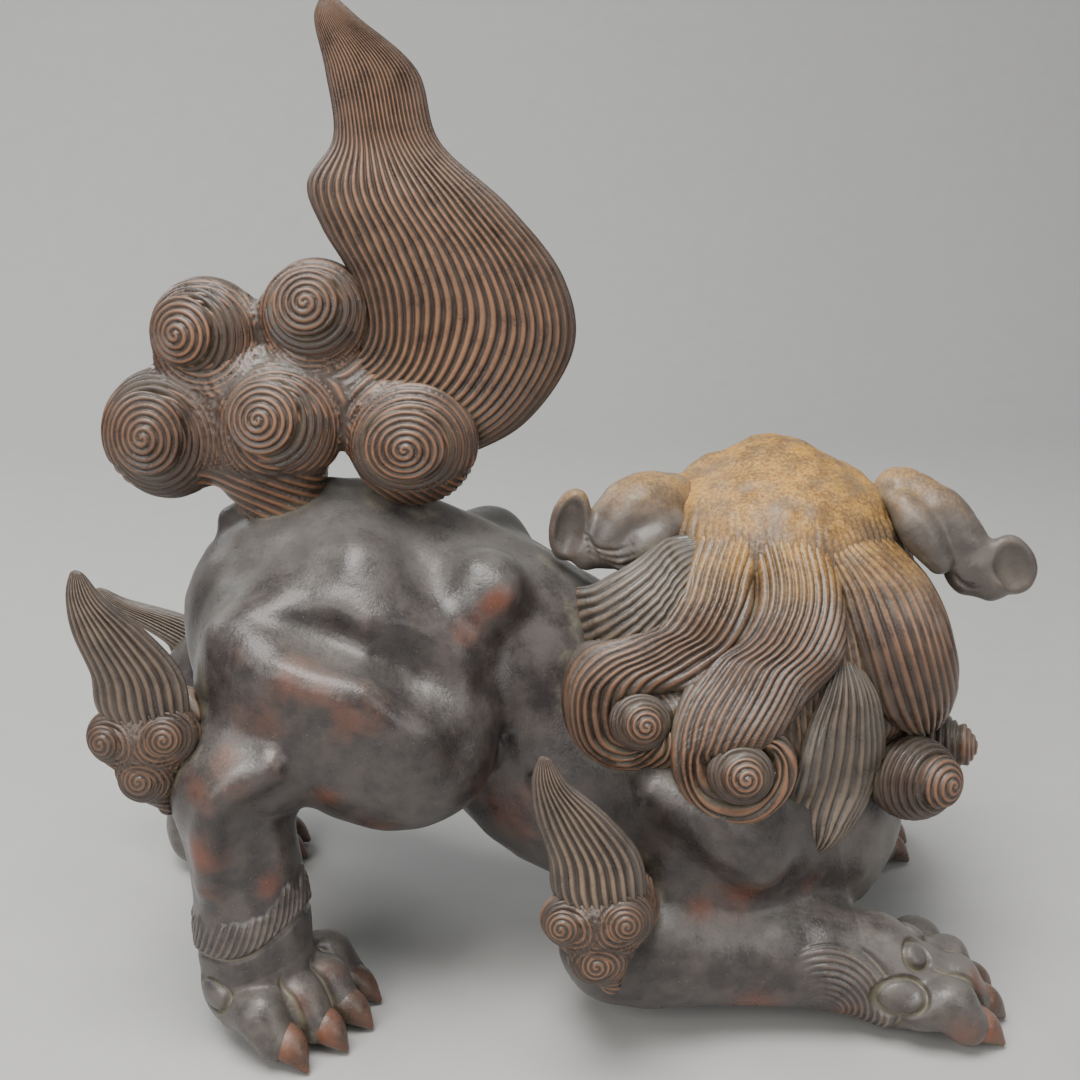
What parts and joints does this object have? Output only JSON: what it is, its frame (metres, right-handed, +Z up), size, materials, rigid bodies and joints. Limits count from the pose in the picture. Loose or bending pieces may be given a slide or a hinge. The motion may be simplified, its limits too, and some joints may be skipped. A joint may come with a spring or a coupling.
{
  "type": "foo dog statue",
  "caption": "Stoneware guardian lion crouching with raised rump, head turned aside, combed mane, spiral curls and a tall flame-shaped tail.",
  "frame": {"origin": "on the ground, in the middle of the statue's length and depth", "axes": "+X is the way the body points, +Y the way the turned head faces, +Z up"},
  "size_m": [0.333, 0.1848, 0.324],
  "materials": {
    "body_clay": "satin, unglazed, dark brown-grey skin worn to rust on the high points",
    "paw_clay": "satin, unglazed, rust-brown knuckles with pale deposit between the toes",
    "claw_clay": "satin, unglazed, worn orange-brown",
    "tuft_clay": "satin, unglazed, combed, ochre at the tips",
    "ash_clay": "dry, with ochre ash speckle on the upward surfaces",
    "mouth_clay": "satin, rust-red",
    "tooth_clay": "satin, pale buff",
    "eye_clay": "satin, near black",
    "mane_clay": "satin, unglazed, combed, orange-brown ridges and pale grooves",
    "curl_clay": "satin, unglazed, orange-brown spiral ridges and pale grooves",
    "tail_clay": "satin, unglazed, combed, orange-brown ridges and pale grooves"
  },
  "bodies": {
    "root": {"torso_right": "body_clay", "torso_left": "body_clay", "haunch_right": "body_clay", "haunch_left": "body_clay", "shoulder_right": "body_clay", "shoulder_left": "body_clay", "hind_leg_right": "body_clay", "hind_leg_left": "body_clay", "fore_leg_right": "body_clay", "fore_leg_left": "body_clay", "hind_paw_right": "paw_clay", "hind_paw_left": "paw_clay", "fore_paw_right": "paw_clay", "fore_paw_left": "paw_clay", "hind_claws_right": "claw_clay", "hind_claws_left": "claw_clay", "fore_claws_right": "claw_clay", "fore_claws_left": "claw_clay", "hock_tuft_right": "tuft_clay", "hock_tuft_left": "tuft_clay", "elbow_tuft_right": "tuft_clay", "elbow_tuft_left": "tuft_clay", "hock_curls_right": "tuft_clay", "hock_curls_left": "tuft_clay", "elbow_curls_right": "tuft_clay", "elbow_curls_left": "tuft_clay", "head": "ash_clay", "lower_jaw": "ash_clay", "nose": "ash_clay", "brow_left": "ash_clay", "brow_right": "ash_clay", "ear_left": "ash_clay", "ear_right": "ash_clay", "tongue": "mouth_clay", "upper_fangs": "tooth_clay", "lower_fangs": "tooth_clay", "eye_left": "eye_clay", "eye_right": "eye_clay", "neck": "mane_clay", "mane_lock_fan": "mane_clay", "mane_lock_rear": "mane_clay", "mane_lock_middle": "mane_clay", "mane_lock_front": "mane_clay", "nape_lock": "mane_clay", "cheek_lock_left": "mane_clay", "cheek_lock_right": "mane_clay", "beard": "mane_clay", "mane_curl_rear": "curl_clay", "mane_curl_middle": "curl_clay", "mane_curl_front": "curl_clay", "mane_curl_chest": "curl_clay", "cheek_curl_left": "curl_clay", "cheek_curl_right": "curl_clay", "tail_curl_rear_low": "curl_clay", "tail_curl_rear_high": "curl_clay", "tail_curl_middle": "curl_clay", "tail_curl_high": "curl_clay", "tail_curl_front": "curl_clay", "tail_root": "tail_clay", "tail_plume": "tail_clay"}
  },
  "joints": []
}
